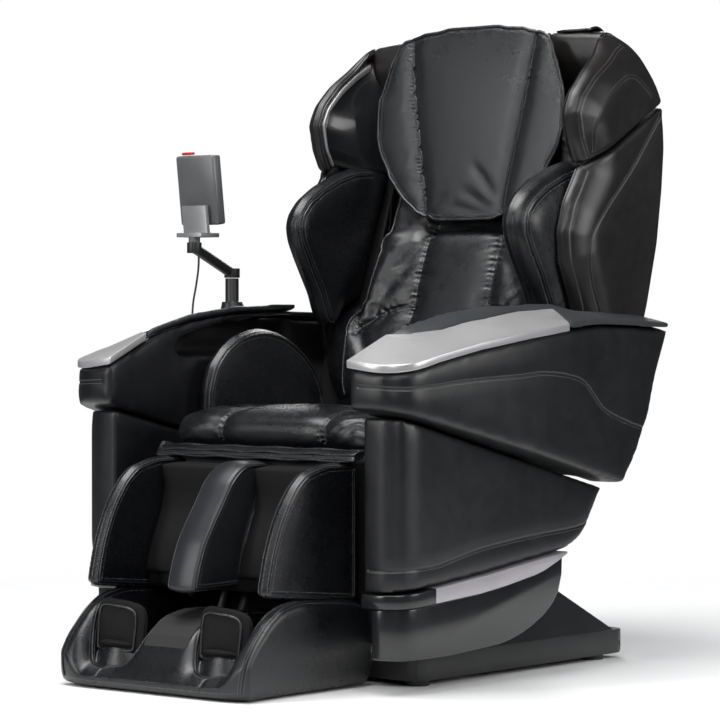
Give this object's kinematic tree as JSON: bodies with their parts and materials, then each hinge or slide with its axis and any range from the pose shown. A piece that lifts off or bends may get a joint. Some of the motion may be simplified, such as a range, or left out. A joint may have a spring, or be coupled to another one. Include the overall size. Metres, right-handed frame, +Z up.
{
  "type": "massage chair",
  "caption": "Reclining massage chair with arm pods, winged back, flip-over head pillow, lifting leg rest with sliding foot unit, and a remote on a swivel arm.",
  "frame": {"origin": "on the floor, at the middle of the chair's footprint", "axes": "+X to the sitter's left, -Y the way the chair faces, +Z up"},
  "size_m": [0.8588, 1.102, 1.198],
  "materials": {
    "steel_frame": "satin powder coat",
    "base_plastic": "dark satin",
    "wheel_rubber": "matte",
    "side_leather": "black, semi-gloss grain",
    "trim_metal": "satin silver",
    "skirt_gloss": "polished",
    "seat_leather": "black, semi-gloss, soft",
    "pad_leather": "dark grey, smooth",
    "lining_fabric": "black mesh lining",
    "back_plastic": "brownish black",
    "roller_rubber": "smooth",
    "remote_shell": "metallic grey",
    "button_red": "red",
    "cord_rubber": "matte"
  },
  "bodies": {
    "base": {"base_frame": "steel_frame", "base_cover": "base_plastic", "power_inlet": "base_plastic", "side_panel_left": "side_leather", "side_panel_right": "side_leather", "side_trim_left": "trim_metal", "side_trim_right": "trim_metal", "side_skirt_left": "skirt_gloss", "side_skirt_right": "skirt_gloss", "seat_frame": "steel_frame", "seat_cushion": "seat_leather", "thigh_pad_left": "seat_leather", "thigh_pad_right": "seat_leather", "recline_actuator": "steel_frame", "leg_actuator": "steel_frame"},
    "wheel_left": {"rear_wheel_left": "wheel_rubber"},
    "wheel_right": {"rear_wheel_right": "wheel_rubber"},
    "arm_left": {"pod_shell_left": "side_leather", "pod_cap_left": "trim_metal", "pod_pad_left": "pad_leather"},
    "arm_right": {"pod_shell_right": "side_leather", "pod_cap_right": "trim_metal", "pod_pad_right": "pad_leather", "remote_flange": "base_plastic", "remote_lead": "cord_rubber"},
    "back": {"back_frame": "steel_frame", "back_pad": "seat_leather", "back_cover": "back_plastic", "wing_shell_left": "side_leather", "wing_shell_right": "side_leather", "wing_strip_left": "trim_metal", "wing_strip_right": "trim_metal", "side_shell_left": "side_leather", "side_shell_right": "side_leather", "shoulder_bolster_left": "seat_leather", "shoulder_bolster_right": "seat_leather", "lift_drive": "steel_frame"},
    "pillow": {"head_pillow": "seat_leather"},
    "carriage": {"massage_carriage": "steel_frame"},
    "rocker_left": {"roller_arm_left": "steel_frame"},
    "rocker_right": {"roller_arm_right": "steel_frame"},
    "roller_left": {"massage_roller_left": "roller_rubber"},
    "roller_right": {"massage_roller_right": "roller_rubber"},
    "leg_rest": {"leg_frame": "steel_frame", "calf_wall_left": "seat_leather", "calf_wall_right": "seat_leather", "calf_divider": "seat_leather", "calf_pad_left": "lining_fabric", "calf_pad_right": "lining_fabric", "seat_flap": "seat_leather"},
    "foot_unit": {"foot_tray": "seat_leather", "foot_wall_left": "seat_leather", "foot_wall_right": "seat_leather", "foot_bridge": "seat_leather", "sole_plate_left": "lining_fabric", "sole_plate_right": "lining_fabric"},
    "remote_arm": {"remote_link": "base_plastic"},
    "remote_yoke": {"remote_holder": "base_plastic"},
    "remote": {"remote_body": "remote_shell"},
    "remote_stop": {"stop_button": "button_red"}
  },
  "joints": [
    {"name": "backrest_recline", "type": "hinge", "parent": "base", "child": "back", "pos_m": [0, 0.25498, 0.416], "axis": [-1, 0, 0], "range_deg": [0, 50]},
    {"name": "leg_rest_lift", "type": "hinge", "parent": "base", "child": "leg_rest", "pos_m": [0, -0.24402, 0.396], "axis": [-1, 0, 0], "range_deg": [0, 80], "deforming": ["seat_flap"]},
    {"name": "foot_extend", "type": "slide", "parent": "leg_rest", "child": "foot_unit", "axis": [0, -0.4194, -0.9078], "range_m": [0, 0.12]},
    {"name": "arm_left_slide", "type": "slide", "parent": "base", "child": "arm_left", "axis": [0, 0.9718, -0.236], "range_m": [0, 0.07]},
    {"name": "arm_right_slide", "type": "slide", "parent": "base", "child": "arm_right", "axis": [0, 0.9718, -0.236], "range_m": [0, 0.07]},
    {"name": "head_pillow_flip", "type": "hinge", "parent": "back", "child": "pillow", "pos_m": [0, 0.40798, 1.193], "axis": [-1, 0, 0], "range_deg": [0, 200]},
    {"name": "carriage_lift", "type": "slide", "parent": "back", "child": "carriage", "axis": [0, 0.342, 0.9397], "range_m": [-0.19, 0.2]},
    {"name": "rocker_left_rock", "type": "hinge", "parent": "carriage", "child": "rocker_left", "pos_m": [0.08, 0.39102, 0.73874], "axis": [1, 0, 0], "range_deg": [-8, 8]},
    {"name": "rocker_right_rock", "type": "hinge", "parent": "carriage", "child": "rocker_right", "pos_m": [-0.08, 0.39102, 0.73874], "axis": [1, 0, 0], "range_deg": [-8, 8]},
    {"name": "roller_left_spin", "type": "hinge", "parent": "rocker_left", "child": "roller_left", "pos_m": [0.097, 0.40402, 0.77445], "axis": [1, 0, 0], "continuous": true},
    {"name": "roller_right_spin", "type": "hinge", "parent": "rocker_right", "child": "roller_right", "pos_m": [-0.097, 0.40402, 0.77445], "axis": [1, 0, 0], "continuous": true},
    {"name": "wheel_left_spin", "type": "hinge", "parent": "base", "child": "wheel_left", "pos_m": [0.26, 0.42898, 0.027], "axis": [1, 0, 0], "continuous": true},
    {"name": "wheel_right_spin", "type": "hinge", "parent": "base", "child": "wheel_right", "pos_m": [-0.26, 0.42898, 0.027], "axis": [1, 0, 0], "continuous": true},
    {"name": "remote_arm_swivel", "type": "hinge", "parent": "arm_right", "child": "remote_arm", "pos_m": [-0.36, 0.07098, 0.726], "axis": [0, 0, 1], "range_deg": [-15, 45], "deforming": ["remote_lead"]},
    {"name": "remote_yoke_swivel", "type": "hinge", "parent": "remote_arm", "child": "remote_yoke", "pos_m": [-0.36, -0.03602, 0.782], "axis": [0, 0, 1], "range_deg": [-45, 45]},
    {"name": "remote_tilt", "type": "hinge", "parent": "remote_yoke", "child": "remote", "pos_m": [-0.36, -0.02202, 0.815], "axis": [-1, 0, 0], "range_deg": [0, 25]},
    {"name": "stop_button_press", "type": "slide", "parent": "remote", "child": "remote_stop", "axis": [0, 0.1219, -0.9925], "range_m": [0, 0.0012], "stiffness_N_per_m": 600}
  ],
  "couplings": [
    {"joint": "arm_left_slide", "follows": "backrest_recline", "m_per_rad": 0.08},
    {"joint": "arm_right_slide", "follows": "backrest_recline", "m_per_rad": 0.08},
    {"joint": "rocker_right_rock", "follows": "rocker_left_rock", "ratio": -1}
  ]
}
